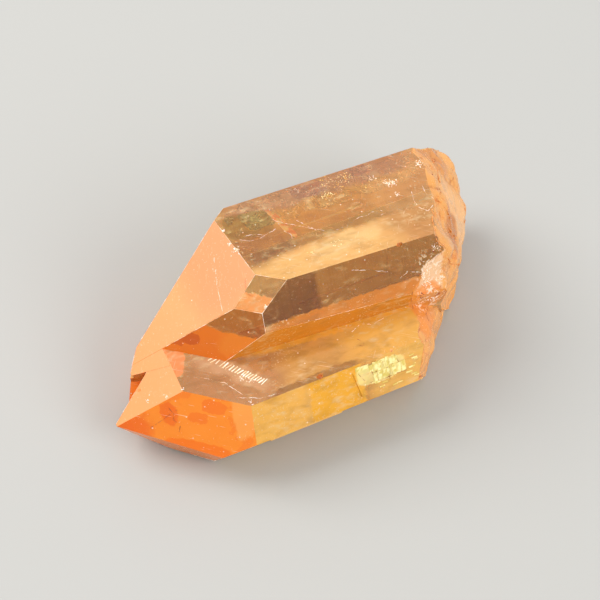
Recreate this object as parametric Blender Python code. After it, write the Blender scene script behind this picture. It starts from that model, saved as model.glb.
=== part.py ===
"""Lemurian quartz point: a large and a small crystal grown parallel into one stone, snapped off at the root.

The growth axis lies level along X with both tips at -X and the broken root at +X. +Z is up.
The stone rests on a flat prism side. Every length below is in millimetres.
"""

import math
import random

import bmesh
import bpy
from mathutils import Vector, noise

MM = 0.001
SEED = 41

# A crystal face is (turn, lean, distance). Turn is the angle about the growth axis: 0 faces up,
# 60 and 120 the front, -60 and -120 the back, 180 down. Lean is the angle from the growth axis:
# 90 is a side of the prism and less than 90 closes the tip. Distance is out from the shared centre.
LARGE_CRYSTAL = {
    "top_side": (-3.5, 90.5, 27.3),
    "back_side": (-60, 91, 20.4),
    "front_side": (60, 87.5, 23.2),
    "front_wall": (99, 85, 11.4),
    "low_front_side": (120, 90, 8.4),
    "low_back_side": (-120, 90, 6.0),
    "rest_side": (180, 90, 0.0),
    "main_tip_face": (-2, 51, 27.4),
    "back_tip_face": (-73.5, 55.5, 16.9),
    "front_tip_face": (59.5, 55, 24.8),
    "window_face": (31, 66.5, 29.1),
    "far_tip_face": (-94, 40.5, 19.0),
    "under_tip_face": (180, 52, 15.5),
    "root_cut": (0, 180, 48.0),
}
SMALL_CRYSTAL = {
    "top_side": (1.5, 89, 16.0),
    "front_side": (60.5, 88.5, 26.9),
    "low_front_side": (120, 89.5, 17.7),
    "rest_side": (180, 90, -0.5),
    "inner_side": (-60, 90, 1.5),
    "main_tip_face": (-2, 51, 27.34),
    "front_tip_face": (58.5, 54.5, 31.4),
    "low_tip_face": (120.5, 50, 27.5),
    "back_tip_face": (-74, 54.5, 13.5),
    "under_tip_face": (180, 52, 16.5),
    "root_cut": (0, 180, 34.0),
}
# A low shoulder of the large crystal, between its tip and the small crystal.
SHOULDER = {
    "top_side": (1.5, 89, 15.94),
    "main_tip_face": (-2, 51, 27.37),
    "far_tip_face": (-94, 40.5, 18.96),
    "near_tip_face": (100, 61.5, 17.8),
    "front_side": (60, 90, 18.0),
    "back_tip_face": (-73.5, 55.5, 16.86),
    "low_back_side": (-120, 90, 5.95),
    "under_tip_face": (180, 52, 15.4),
    "rest_side": (180, 90, -0.4),
    "root_cut": (0, 180, -12.0),
}

# A growth ledge is (face, rise, start along X, end along X, skew in degrees, inset from the face's edges).
LARGE_LEDGES = (
    ("back_side", 0.30, -6.0, 6.5, 18, 1.6),
    ("back_side", 0.22, 11.0, 24.0, -20, 2.4),
    ("low_back_side", 0.25, 2.0, 19.0, 15, 2.0),
)
SMALL_LEDGES = (
    ("front_side", 0.22, 1.5, 7.0, 12, 1.0),
    ("front_side", 0.18, 8.0, 12.5, -10, 2.0),
    ("low_front_side", 0.24, -10.0, 3.0, 12, 1.4),
)
LEDGE_DEPTH = 1.5

# A facet of the broken root is (turn about Z from +X towards the front, upward tilt, distance).
LARGE_BREAK = (
    (25.5, 32.7, 36.1),
    (0, 46, 39.8),
    (78.5, 19.5, 24.9),
    (45.5, 5.7, 29.1),
    (25, -5, 34.5),
    (-6, 8.5, 44.6),
    (10, -35, 30.3),
)
SMALL_BREAK = (
    (24.5, 50.5, 26.8),
    (45.5, 5.7, 29.0),
    (38, -30, 24.0),
)
BREAK_TURN = 28
BREAK_TILT = 18
BREAK_ACROSS = (-24.0, 38.0)
BREAK_UP = (-18.0, 26.0)
BREAK_GRID = 0.85
SWELL_SIZE = 13.0
SWELL_HEIGHT = 0.7
LUMP_SIZE = 8.5
LUMP_HEIGHT = 2.2
GRAIN_SIZE = 2.2
GRAIN_HEIGHT = 0.16

# A chip is (X, Y, Z, radius): the bite taken from an edge or a corner.
CHIPS = (
    (-8.6, -9.4, 28.4, 0.75),
    (-11.6, -12.8, 24.6, 0.6),
    (-4.2, -21.6, 15.9, 0.9),
    (-25.9, -14.4, 15.5, 0.7),
    (-16.9, -22.2, 15.4, 0.55),
    (-9.5, 7.2, 27.5, 0.6),
    (5.5, 7.2, 27.4, 0.7),
    (4.5, -11.2, 28.3, 0.5),
    (15.0, -11.5, 28.2, 0.8),
    (-30.4, -9.0, 11.2, 0.5),
    (9.0, -22.3, 15.9, 0.6),
    (3.0, -26.4, 9.4, 0.55),
    (-30.5, -6.0, 10.6, 0.9),
    (21.0, 15.6, 14.6, 0.8),
    (-12.0, 15.5, 14.4, 0.6),
    (14.0, 7.1, 27.2, 0.45),
)
TIP_NICK = 0.35
BLOCK = 140.0


def remove_everything():
    for obj in list(bpy.data.objects):
        bpy.data.objects.remove(obj)


def crystal_normal(turn, lean):
    turn = math.radians(turn)
    lean = math.radians(lean)
    return Vector((-math.cos(lean), -math.sin(lean) * math.sin(turn), math.sin(lean) * math.cos(turn)))


def break_normal(turn, tilt):
    turn = math.radians(turn)
    tilt = math.radians(tilt)
    return Vector((math.cos(tilt) * math.cos(turn), -math.cos(tilt) * math.sin(turn), math.sin(tilt)))


def cut(bm, normal, distance):
    """Keep the part of the closed mesh behind the plane and close the cut with a flat face."""
    geometry = bm.verts[:] + bm.edges[:] + bm.faces[:]
    found = bmesh.ops.bisect_plane(
        bm, geom=geometry, dist=1e-6, plane_co=normal * distance, plane_no=normal, clear_outer=True
    )
    rim = [item for item in found["geom_cut"] if isinstance(item, bmesh.types.BMEdge)]
    if rim:
        bmesh.ops.contextual_create(bm, geom=rim)


def convex_body(planes):
    bm = bmesh.new()
    bmesh.ops.create_cube(bm, size=BLOCK)
    for normal, distance in planes:
        cut(bm, normal, distance)
    bmesh.ops.recalc_face_normals(bm, faces=bm.faces[:])
    return bm


def add_object(name, bm):
    bmesh.ops.scale(bm, vec=(MM, MM, MM), verts=bm.verts[:])
    mesh = bpy.data.meshes.new(name)
    bm.to_mesh(mesh)
    bm.free()
    obj = bpy.data.objects.new(name, mesh)
    bpy.context.collection.objects.link(obj)
    return obj


def add_helper(name, bm):
    obj = add_object(name, bm)
    obj.hide_render = True
    obj.display_type = "WIRE"
    return obj


def join_into(target, bm):
    """Copy one body into a mesh that gathers several."""
    mesh = bpy.data.meshes.new("gather")
    bm.to_mesh(mesh)
    bm.free()
    target.from_mesh(mesh)
    bpy.data.meshes.remove(mesh)


def crystal_planes(faces):
    return [(crystal_normal(turn, lean), distance) for turn, lean, distance in faces.values()]


def ledge_body(faces, ledge):
    """A thin raised plate on one face, kept inside the edges of that face."""
    name, rise, start, end, skew, inset = ledge
    turn, lean, distance = faces[name]
    outward = crystal_normal(turn, lean)
    planes = [(outward, distance + rise), (-outward, LEDGE_DEPTH - distance)]
    for other, (other_turn, other_lean, other_distance) in faces.items():
        if other != name:
            planes.append((crystal_normal(other_turn, other_lean), other_distance - inset))
    along = outward.cross(Vector((1, 0, 0))).normalized()
    slant = (Vector((1, 0, 0)) + along * math.tan(math.radians(skew))).normalized()
    planes.append((-slant, -start))
    planes.append((slant, end))
    return convex_body(planes)


def lump_height(u, v, seed):
    """Depth of the snapped surface: broad swells, knobs with creases between them, and a fine grain."""
    swell = noise.noise(Vector((u / SWELL_SIZE, v / SWELL_SIZE, seed)))
    nearest = noise.voronoi(Vector((u / LUMP_SIZE, v / LUMP_SIZE, seed)))[0]
    knob = min(nearest[1] - nearest[0], 0.55) - 0.3
    grain = noise.noise(Vector((u / GRAIN_SIZE, v / GRAIN_SIZE, seed)))
    return SWELL_HEIGHT * swell + LUMP_HEIGHT * knob + GRAIN_HEIGHT * grain


def break_grid(facets, seed):
    """Rows of points on the broken surface, spread with a little scatter so that no row runs straight."""
    out = break_normal(BREAK_TURN, BREAK_TILT)
    across = Vector((0, 0, 1)).cross(out).normalized()
    up = out.cross(across)
    planes = [(break_normal(turn, tilt), distance) for turn, tilt, distance in facets]
    columns = round((BREAK_ACROSS[1] - BREAK_ACROSS[0]) / BREAK_GRID)
    rows = round((BREAK_UP[1] - BREAK_UP[0]) / BREAK_GRID)
    chance = random.Random(SEED + seed)
    points = []
    for row in range(rows + 1):
        line = []
        for column in range(columns + 1):
            u = BREAK_ACROSS[0] + (column + chance.uniform(-0.3, 0.3)) * BREAK_GRID
            v = BREAK_UP[0] + (row + chance.uniform(-0.3, 0.3)) * BREAK_GRID
            base = across * u + up * v
            height = min((distance - normal.dot(base)) / normal.dot(out) for normal, distance in planes)
            line.append(base + out * (height + lump_height(u, v, seed)))
        points.append(line)
    return points, out


def break_cutter(name, facets, seed):
    """A block whose inner side is the rough broken surface."""
    points, out = break_grid(facets, seed)
    bm = bmesh.new()
    grid = [[bm.verts.new(point) for point in line] for line in points]
    for low, high in zip(grid, grid[1:]):
        for corner in range(len(low) - 1):
            bm.faces.new((low[corner], low[corner + 1], high[corner + 1], high[corner]))
    rim = [edge for edge in bm.edges if edge.is_boundary]
    skirt = bmesh.ops.extrude_edge_only(bm, edges=rim)["geom"]
    for item in skirt:
        if isinstance(item, bmesh.types.BMVert):
            item.co += out * (BLOCK * 0.6 - item.co.dot(out))
    far = [edge for edge in bm.edges if edge.is_boundary]
    bmesh.ops.contextual_create(bm, geom=far)
    bmesh.ops.recalc_face_normals(bm, faces=bm.faces[:])
    return add_helper(name, bm)


def add_chips():
    chance = random.Random(SEED)
    gathered = bmesh.new()
    for x, y, z, radius in CHIPS:
        bm = bmesh.new()
        bmesh.ops.create_icosphere(bm, subdivisions=1, radius=radius)
        for vert in bm.verts:
            vert.co *= chance.uniform(0.7, 1.25)
            vert.co += Vector((x, y, z))
        join_into(gathered, bm)
    return add_helper("chip_cutters", gathered)


def add_boolean(obj, other, operation):
    modifier = obj.modifiers.new(other.name, "BOOLEAN")
    modifier.operation = operation
    modifier.solver = "EXACT"
    modifier.object = other


def add_ledges(obj, faces, ledges):
    for number, ledge in enumerate(ledges, 1):
        plate = add_helper(f"{obj.name}_ledge_{number}", ledge_body(faces, ledge))
        add_boolean(obj, plate, "UNION")


def add_large_crystal():
    obj = add_object("crystal", convex_body(crystal_planes(LARGE_CRYSTAL)))
    add_ledges(obj, LARGE_CRYSTAL, LARGE_LEDGES)
    add_boolean(obj, break_cutter("large_break", LARGE_BREAK, 3), "DIFFERENCE")
    return obj


def add_small_crystal():
    bm = convex_body(crystal_planes(SMALL_CRYSTAL))
    nick = Vector((-0.93, 0.1, -0.35)).normalized()
    reach = max(nick.dot(vert.co) for vert in bm.verts)
    cut(bm, nick, reach - TIP_NICK)
    obj = add_helper("small_crystal", bm)
    add_ledges(obj, SMALL_CRYSTAL, SMALL_LEDGES)
    add_boolean(obj, break_cutter("small_break", SMALL_BREAK, 8), "DIFFERENCE")
    return obj


def quartz_material():
    material = bpy.data.materials.new("iron_stained_quartz")
    material.use_nodes = True
    shader = material.node_tree.nodes["Principled BSDF"]
    shader.inputs["Base Color"].default_value = (0.86, 0.42, 0.16, 1)
    shader.inputs["Roughness"].default_value = 0.12
    shader.inputs["IOR"].default_value = 1.544
    shader.inputs["Transmission Weight"].default_value = 0.85
    material.diffuse_color = (0.86, 0.42, 0.16, 1)
    return material


def stand_on_origin(obj):
    """Fix the shape, then move it so that its box is centred over the origin and stands on Z = 0."""
    graph = bpy.context.evaluated_depsgraph_get()
    mesh = bpy.data.meshes.new_from_object(obj.evaluated_get(graph))
    obj.modifiers.clear()
    obj.data = mesh
    low = [min(vert.co[axis] for vert in mesh.vertices) for axis in range(3)]
    high = [max(vert.co[axis] for vert in mesh.vertices) for axis in range(3)]
    middle = Vector(((low[0] + high[0]) / 2, (low[1] + high[1]) / 2, low[2]))
    for vert in mesh.vertices:
        vert.co -= middle


def build():
    remove_everything()
    crystal = add_large_crystal()
    add_boolean(crystal, add_helper("shoulder", convex_body(crystal_planes(SHOULDER))), "UNION")
    add_boolean(crystal, add_small_crystal(), "UNION")
    add_boolean(crystal, add_chips(), "DIFFERENCE")
    stand_on_origin(crystal)
    crystal.data.materials.clear()
    crystal.data.materials.append(quartz_material())


build()
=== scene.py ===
import math
import random

import bmesh
import bpy
from mathutils import Matrix, Quaternion, Vector, noise
from mathutils.bvhtree import BVHTree


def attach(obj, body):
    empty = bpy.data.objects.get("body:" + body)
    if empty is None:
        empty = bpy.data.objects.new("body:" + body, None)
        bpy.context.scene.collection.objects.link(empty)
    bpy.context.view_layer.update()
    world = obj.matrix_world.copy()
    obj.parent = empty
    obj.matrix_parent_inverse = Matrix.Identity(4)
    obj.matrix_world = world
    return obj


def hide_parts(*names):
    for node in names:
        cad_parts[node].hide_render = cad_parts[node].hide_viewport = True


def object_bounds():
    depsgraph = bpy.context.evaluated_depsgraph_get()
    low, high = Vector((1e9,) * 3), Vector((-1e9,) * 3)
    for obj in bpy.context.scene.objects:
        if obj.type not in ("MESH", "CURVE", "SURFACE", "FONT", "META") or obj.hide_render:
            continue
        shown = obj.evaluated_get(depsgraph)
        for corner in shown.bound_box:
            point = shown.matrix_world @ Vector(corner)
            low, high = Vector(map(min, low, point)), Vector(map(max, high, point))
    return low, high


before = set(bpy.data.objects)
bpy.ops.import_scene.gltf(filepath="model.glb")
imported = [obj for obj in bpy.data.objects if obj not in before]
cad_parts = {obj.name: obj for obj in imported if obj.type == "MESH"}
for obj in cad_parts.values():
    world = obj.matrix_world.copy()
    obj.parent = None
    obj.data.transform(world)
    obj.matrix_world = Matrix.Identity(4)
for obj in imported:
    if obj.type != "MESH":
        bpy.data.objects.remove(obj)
cad_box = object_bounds()

# ----------------------------------------------
# The stone. Clear quartz, stained by iron: a large and a small crystal grown side by side, with a
# frosted main tip face, orange-filmed lower tip faces and a root that was snapped off its bed.
# Its faces are the solid's own. The break is split finer here and gets its small swells and grain.
MM = 0.001
LOW_CORNER = Vector(cad_box[0])
# Sizes are in millimetres and areas in square millimetres, unless a comment says otherwise.
GROWN_FACE = 2.0
WIDE_FACE = 60.0
LEDGE_RISE = 0.32
SAME_PLANE = math.radians(0.2)
# How far a face leans back at the root or forward at the tip, as the X of the way it faces.
ROOT_LEAN = 0.3
TIP_LEAN = -0.5
EDGE_WEAR = 0.05
WORN_EDGE = math.radians(18)
WORN_LENGTH = 1.5
SHORT_EDGE = 0.30
# A corner this near an edge stops its wear, this share of the edge's length before it.
CROWDED = 2.5 * EDGE_WEAR
CLEAR_SHARE = 0.04
END_SHARE = 0.02
# Turns between two triangles that stay smooth, on a grown face and on the break.
FLAT_TURN = math.radians(1.0)
BROKEN_TURN = math.radians(50)
BREAK_SPLITS = 2
BREAK_SOFTENING = 3
LOBE_STEEPNESS = 2.6
LOBE_MIDDLE = 0.7
BREAK_LOBES = (
    # size of the rounded lobes and the depth of the creases between them, both in millimetres
    (7.5, 0.45),
    (3.4, 0.12),
)
BREAK_DETAIL = (
    # size of the bumps and their height, both in millimetres
    (3.6, 0.20),
    (1.3, 0.08),
    (0.55, 0.04),
)
CRUSHED_TOP = (68.5, 33.0, 25.0)
CRUSHED_REACH = 9.0
CRUSHED_HEIGHT = 0.28
CRUSHED_GRAIN = 0.8
HOLLOW_DEPTH = 0.06
FACET_MATCH = 0.97
FACETS = (
    # number, way it faces, and the height its middle lies between in millimetres
    (1, (0.00, 0.06, 1.00), 22, 30),
    (2, (-0.40, -0.47, 0.79), 20, 30),
    (3, (-0.04, -0.87, 0.50), 17, 30),
    (4, (-0.09, -0.98, -0.16), 10, 25),
    (5, (-0.02, -0.03, 1.00), 10, 20),
    (6, (-0.03, -0.87, 0.49), 0, 16),
    (7, (-0.57, -0.70, 0.42), 12, 30),
    (8, (-0.57, -0.70, 0.42), 0, 12),
)


def spot(x, y, z):
    """A place in millimetres from the stone's low corner: back from the tip, in from the front, up."""
    return LOW_CORNER + Vector((x, y, z)) * MM


def lobe(place, size):
    """0 in the crease between two lobes, 1 out on a lobe."""
    near = noise.voronoi(place / size)[0]
    return min((near[1] - near[0]) * LOBE_STEEPNESS, 1.0)


def keep_inside(verts):
    """Hold each vertex inside the solid's own box."""
    for vert in verts:
        for axis in range(3):
            vert.co[axis] = min(max(vert.co[axis], cad_box[0][axis]), cad_box[1][axis])


def merged_copy(name):
    """The solid's mesh with its corners joined and each flat face in one piece."""
    bm = bmesh.new()
    bm.from_mesh(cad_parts[name].data)
    bmesh.ops.remove_doubles(bm, verts=bm.verts[:], dist=1e-6)
    bmesh.ops.dissolve_limit(bm, angle_limit=SAME_PLANE, verts=bm.verts[:], edges=bm.edges[:])
    return bm


def wide_faces(bm):
    """The middle and the outward way of each wide grown face."""
    wide = [face for face in bm.faces if face.calc_area() > WIDE_FACE * MM * MM]
    grown = [face for face in wide if face.normal.x < ROOT_LEAN]
    return [(face.calc_center_median(), face.normal.copy()) for face in grown]


def grown_way(face, beds):
    """The way of the wide face that this one is part of, or a ledge's rim on, or None on the break."""
    for middle, out in beds:
        if all(abs((vert.co - middle).dot(out)) < LEDGE_RISE * MM for vert in face.verts):
            return out
    if face.calc_area() < GROWN_FACE * MM * MM or face.normal.x > ROOT_LEAN:
        return None
    return face.normal.copy()


def face_kind(out):
    """0 side of the prism, 1 frosted tip face, 2 filmed tip face, 3 broken surface. 4 is for worn edges."""
    if out is None:
        return 3
    if out.x > TIP_LEAN:
        return 0
    return 1 if out.z > 0.6 and abs(out.y) < 0.25 else 2


def facet_number(face, out):
    """Which of the named grown faces this one lies in, or 0 for any other."""
    if out is None:
        return 0
    height = (face.calc_center_median().z - LOW_CORNER.z) / MM
    for number, way, low, high in FACETS:
        if low < height < high and out.dot(Vector(way).normalized()) > FACET_MATCH:
            return number
    return 0


def faces_away(out):
    """True for the sides under the stone and along its back, which are etched milky."""
    return out is not None and out.x > TIP_LEAN and (out.z < -0.3 or out.y > 0.3)


def free_part(edge):
    """The part of an edge that no other corner of its two faces comes close to."""
    start, end = edge.verts
    way = end.co - start.co
    crowded = []
    for face in edge.link_faces:
        for vert in face.verts:
            along = (vert.co - start.co).dot(way) / way.length_squared
            gap = (start.co + way * along - vert.co).length
            beside = -END_SHARE < along < 1 + END_SHARE
            if vert not in edge.verts and beside and gap < CROWDED * MM:
                crowded.append(along)
    if not crowded:
        return edge
    low, high = min(crowded), max(crowded)
    kept = end if 1 - high > low else start
    at = min(high + CLEAR_SHARE, 1 - END_SHARE) if kept is end else max(low - CLEAR_SHARE, END_SHARE)
    middle = bmesh.utils.edge_split(edge, start, at)[1]
    return next(part for part in middle.link_edges if kept in part.verts)


def wear_edges(bm, kinds):
    """Take the sharp line off each edge where two grown faces meet."""
    worn = []
    for edge in bm.edges:
        near = {other for vert in edge.verts for other in vert.link_edges}
        clear = min(other.calc_length() for other in near) > SHORT_EDGE * MM
        big = all(face[kinds] < 3 and face.calc_area() > GROWN_FACE * MM * MM for face in edge.link_faces)
        long = edge.calc_length() > WORN_LENGTH * MM
        if clear and big and long and edge.is_convex and edge.calc_face_angle(0) > WORN_EDGE:
            worn.append(edge)
    worn = [free_part(edge) for edge in worn]
    lines = [(edge.verts[0].co.copy(), edge.verts[1].co.copy()) for edge in worn]
    made = bmesh.ops.bevel(
        bm, geom=worn, offset=EDGE_WEAR * MM, offset_type="OFFSET", segments=1, affect="EDGES"
    )
    for face in made["faces"]:
        face[kinds] = 4
    return lines


def roughen_break(bm, kinds):
    """Split the broken faces and give them softer swells, small bumps and a crushed, grainy top corner."""
    broken = [face for face in bm.faces if face[kinds] == 3]
    broken = bmesh.ops.triangulate(bm, faces=broken)["faces"]
    edges = list({edge for face in broken for edge in face.edges})
    bmesh.ops.subdivide_edges(bm, edges=edges, cuts=BREAK_SPLITS, use_grid_fill=True)
    inner = [vert for vert in bm.verts if all(face[kinds] == 3 for face in vert.link_faces)]
    every_way = {"use_axis_x": True, "use_axis_y": True, "use_axis_z": True}
    for _ in range(BREAK_SOFTENING):
        bmesh.ops.smooth_vert(bm, verts=inner, factor=0.5, **every_way)
    bm.normal_update()
    crushed = spot(*CRUSHED_TOP)
    moves = []
    for vert in inner:
        place = vert.co / MM
        height = sum(tall * noise.noise(place / size) for size, tall in BREAK_DETAIL)
        height += sum(deep * (lobe(place, size) - LOBE_MIDDLE) for size, deep in BREAK_LOBES)
        near = max(0.0, 1 - (vert.co - crushed).length / (CRUSHED_REACH * MM))
        height += CRUSHED_HEIGHT * near * noise.noise(place / CRUSHED_GRAIN)
        moves.append((vert, vert.normal * height * MM))
    for vert, move in moves:
        vert.co += move


def finish_stone(bm, kinds, facets, etched):
    """Sharp lines round each grown face, smooth shading on the break, and one attribute for each finish."""
    keep_inside(bm.verts)
    bmesh.ops.triangulate(bm, faces=bm.faces[:])
    bm.normal_update()
    for face in bm.faces:
        face.smooth = True
    for edge in bm.edges:
        grown = any(face[kinds] != 3 for face in edge.link_faces)
        turned = edge.calc_face_angle(0)
        edge.smooth = turned < (FLAT_TURN if grown else BROKEN_TURN)
    mesh = bpy.data.meshes.new("quartz_crystals")
    for name, wanted in (("frosted", 1), ("filmed", 2), ("broken", 3), ("worn", 4)):
        layer = bm.faces.layers.float.new(name)
        for face in bm.faces:
            face[layer] = 1.0 if face[kinds] == wanted else 0.0
    hollows = bm.verts.layers.float.new("hollow")
    for vert in bm.verts:
        ring = [edge.other_vert(vert).co for edge in vert.link_edges]
        middle = sum(ring, Vector()) / len(ring)
        vert[hollows] = (middle - vert.co).dot(vert.normal) / (HOLLOW_DEPTH * MM)
    layer = bm.faces.layers.float.new("facet")
    for face in bm.faces:
        face[layer] = face[facets]
    layer = bm.faces.layers.float.new("milky")
    for face in bm.faces:
        face[layer] = 1.0 if face[kinds] == 0 and face[etched] else 0.0
    bm.to_mesh(mesh)
    bm.free()
    return mesh


stone_bm = merged_copy("crystal")
kind_layer = stone_bm.faces.layers.int.new("kind")
facet_layer = stone_bm.faces.layers.int.new("number")
etched_layer = stone_bm.faces.layers.int.new("etched")
grown_beds = wide_faces(stone_bm)
for stone_face in stone_bm.faces:
    outward = grown_way(stone_face, grown_beds)
    stone_face[kind_layer] = face_kind(outward)
    stone_face[facet_layer] = facet_number(stone_face, outward)
    stone_face[etched_layer] = int(faces_away(outward))
edge_lines = wear_edges(stone_bm, kind_layer)
roughen_break(stone_bm, kind_layer)
stone_mesh = finish_stone(stone_bm, kind_layer, facet_layer, etched_layer)
stone = bpy.data.objects.new("quartz_crystals", stone_mesh)
bpy.context.collection.objects.link(stone)


def linear(code):
    """An sRGB hex colour as linear red, green, blue and alpha."""
    parts = [int(code[i : i + 2], 16) / 255 for i in (1, 3, 5)]
    return tuple(c / 12.92 if c <= 0.04045 else ((c + 0.055) / 1.055) ** 2.4 for c in parts) + (1.0,)


def add(tree, kind, inputs=(), **settings):
    """Add one node, set what it is, then fill or link its inputs by name or number."""
    node = tree.nodes.new(kind)
    for name, value in settings.items():
        setattr(node, name, value)
    for key, value in dict(inputs).items():
        if isinstance(value, bpy.types.NodeSocket):
            tree.links.new(value, node.inputs[key])
        else:
            node.inputs[key].default_value = value
    return node


def blank_material(name):
    """A material holding only a Principled shader and its output."""
    material = bpy.data.materials.new(name)
    material.use_nodes = True
    return material, material.node_tree, material.node_tree.nodes["Principled BSDF"]


def stone_place(tree):
    """Object coordinates turned to millimetres from the stone's low corner."""
    where = add(tree, "ShaderNodeTexCoord").outputs["Object"]
    moved = add(tree, "ShaderNodeVectorMath", {0: where, 1: LOW_CORNER}, operation="SUBTRACT").outputs[0]
    return add(tree, "ShaderNodeVectorMath", {0: moved, "Scale": 1 / MM}, operation="SCALE").outputs[0]


def blend_colour(tree, share, first, second, how="MIX"):
    """Mix two colours, each a socket or a hex code."""
    first = linear(first) if isinstance(first, str) else first
    second = linear(second) if isinstance(second, str) else second
    settings = {"data_type": "RGBA", "blend_type": how}
    return add(tree, "ShaderNodeMix", {0: share, 6: first, 7: second}, **settings).outputs[2]


def blend_value(tree, share, first, second):
    """Mix two plain values."""
    return add(tree, "ShaderNodeMix", {0: share, 2: first, 3: second}, data_type="FLOAT").outputs[0]


def finish_share(tree, name):
    """How far a named finish of the stone's mesh holds at this point."""
    return add(tree, "ShaderNodeAttribute", attribute_name=name).outputs["Fac"]


def calc(tree, operation, first, second=0.0):
    """One step of arithmetic on sockets or plain values."""
    return add(tree, "ShaderNodeMath", {0: first, 1: second}, operation=operation).outputs[0]


def ramp(tree, value, start, end, low=0.0, high=1.0):
    """Turn a value between start and end into one between low and high, with soft ends."""
    inputs = {"Value": value, "From Min": start, "From Max": end, "To Min": low, "To Max": high}
    return add(tree, "ShaderNodeMapRange", inputs, interpolation_type="SMOOTHSTEP").outputs[0]


def grain(tree, where, size, detail=2.0, twist=0.0):
    """Cloudy noise whose patches are about this many millimetres across."""
    inputs = {"Vector": where, "Scale": 1 / size, "Detail": detail, "Distortion": twist}
    return add(tree, "ShaderNodeTexNoise", inputs).outputs["Fac"]


def stretched(tree, where, turn, size):
    """Coordinates turned about Z and squeezed, so that noise on them runs out into lines."""
    inputs = {"Vector": where, "Rotation": (0, 0, math.radians(turn)), "Scale": size}
    return add(tree, "ShaderNodeMapping", inputs, vector_type="TEXTURE").outputs[0]


# Where iron stain, haze and depth change the body colour, and where light and shade seen inside the stone
# are painted in. Columns: the facet number or 0 for all, colour, how clear, middle and half size in
# millimetres from the low corner, turn, strength and edge (0.1 crisp).
SIDE_STAIN_GLOW_AND_SHADE_ZONES = (
    (1, "#FFC67C", 0.70, (60.5, 26.0, 27.0), (9.0, 10.0, 3), 0, 0.75, 0.70),
    (1, "#E6CA84", 0.92, (30.0, 23.6, 27.4), (4.2, 4.4, 3), 12, 0.80, 0.40),
    (1, "#E6C094", 0.82, (44.0, 33.0, 26.9), (18.0, 3.2, 3), -1, 0.85, 0.45),
    (1, "#CED47C", 0.95, (29.9, 29.0, 27.2), (4.1, 2.7, 3), -8, 0.92, 0.14),
    (1, "#BE8E70", 0.70, (42.8, 31.9, 27.0), (3.2, 1.4, 3), -3, 0.85, 0.18),
    (1, "#BE8E70", 0.70, (53.0, 32.6, 27.0), (1.9, 1.1, 3), 0, 0.80, 0.25),
    (1, "#F8BE7C", 0.34, (64.6, 23.0, 27.0), (14.0, 2.5, 3), 63, 0.85, 0.25),
    (1, "#F4B668", 0.62, (46.5, 15.0, 28.0), (22.5, 6.2, 3), 0, 0.92, 0.12),
    # These two make a golden strip along the front edge of the large crystal's top: painted glow of light
    # inside the stone.
    (1, "#FFC878", 0.42, (37.5, 16.4, 28.0), (13.5, 4.6, 3), 2, 0.90, 0.50),
    (1, "#FFD690", 0.38, (43.0, 19.0, 28.0), (6.0, 1.7, 3), 3, 0.60, 0.80),
    # These two dark olive-brown patches on the large crystal's front face are painted shade.
    (3, "#A07E2E", 0.90, (47.0, 12.6, 25.0), (15.0, 4.2, 5), 0, 0.75, 0.50),
    (3, "#786022", 0.97, (25.2, 13.4, 24.8), (9.6, 5.5, 6), 0, 0.95, 0.10),
    (3, "#F89C30", 0.52, (38.0, 11.5, 20.3), (26.0, 5.0, 2.0), -2, 0.92, 0.12),
    (4, "#F09010", 0.50, (36.0, 11.2, 17.8), (30.0, 5.0, 4), -2, 0.92, 0.20),
    (5, "#FFBC5E", 0.52, (34.0, 8.2, 15.5), (12.0, 4.0, 2), 0, 0.80, 0.70),
    (5, "#FFBE50", 0.38, (49.0, 7.2, 15.7), (11.5, 5.0, 2), 0, 0.90, 0.70),
    (5, "#F2B276", 0.70, (17.5, 9.5, 15.3), (8.5, 6.5, 2), -20, 0.85, 0.50),
    (5, "#FFB438", 0.34, (41.5, 13.2, 15.5), (20.0, 2.7, 2), -4, 0.92, 0.20),
    (5, "#FF8E50", 0.32, (10.2, 17.2, 15.4), (2.6, 2.9, 2), -30, 0.85, 0.14),
    (5, "#F6C8A0", 0.40, (18.6, 11.6, 15.4), (6.4, 1.5, 2), -52, 0.40, 0.80),
    (5, "#A07434", 0.88, (30.0, 4.3, 15.4), (8.0, 0.8, 2), 0, 0.42, 0.29),
    # These golden patches on the small crystal's front face are painted glow of light inside it; the pale
    # yellow one is a painted glint.
    (6, "#FFC254", 0.34, (21.5, 2.6, 12.5), (7.5, 4.0, 9), 0, 0.90, 0.50),
    (6, "#FAB41E", 0.30, (33.4, 2.0, 11.2), (5.0, 4.4, 9), 0, 0.92, 0.14),
    (6, "#FFC85E", 0.36, (52.0, 2.4, 10.5), (13.0, 5.0, 9), 0, 0.85, 0.40),
    (6, "#FFF09A", 0.24, (41.6, 2.2, 13.4), (4.6, 4.0, 1.5), 0, 0.80, 0.14),
    (2, "#FAA258", 0.38, (25.0, 15.0, 24.6), (9.0, 9.0, 9.0), 0, 0.92, 0.50),
    (2, "#F0DE96", 0.90, (25.0, 15.0, 28.4), (9.0, 9.0, 2.4), 0, 0.95, 0.10),
    (7, "#D28E2C", 0.92, (20.9, 15.8, 22.6), (9.0, 9.0, 9.0), 0, 0.92, 0.20),
    (0, "#FFA244", 0.36, (54.6, 8.4, 17.0), (3.2, 4.6, 4.6), 0, 0.85, 0.12),
)
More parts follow.
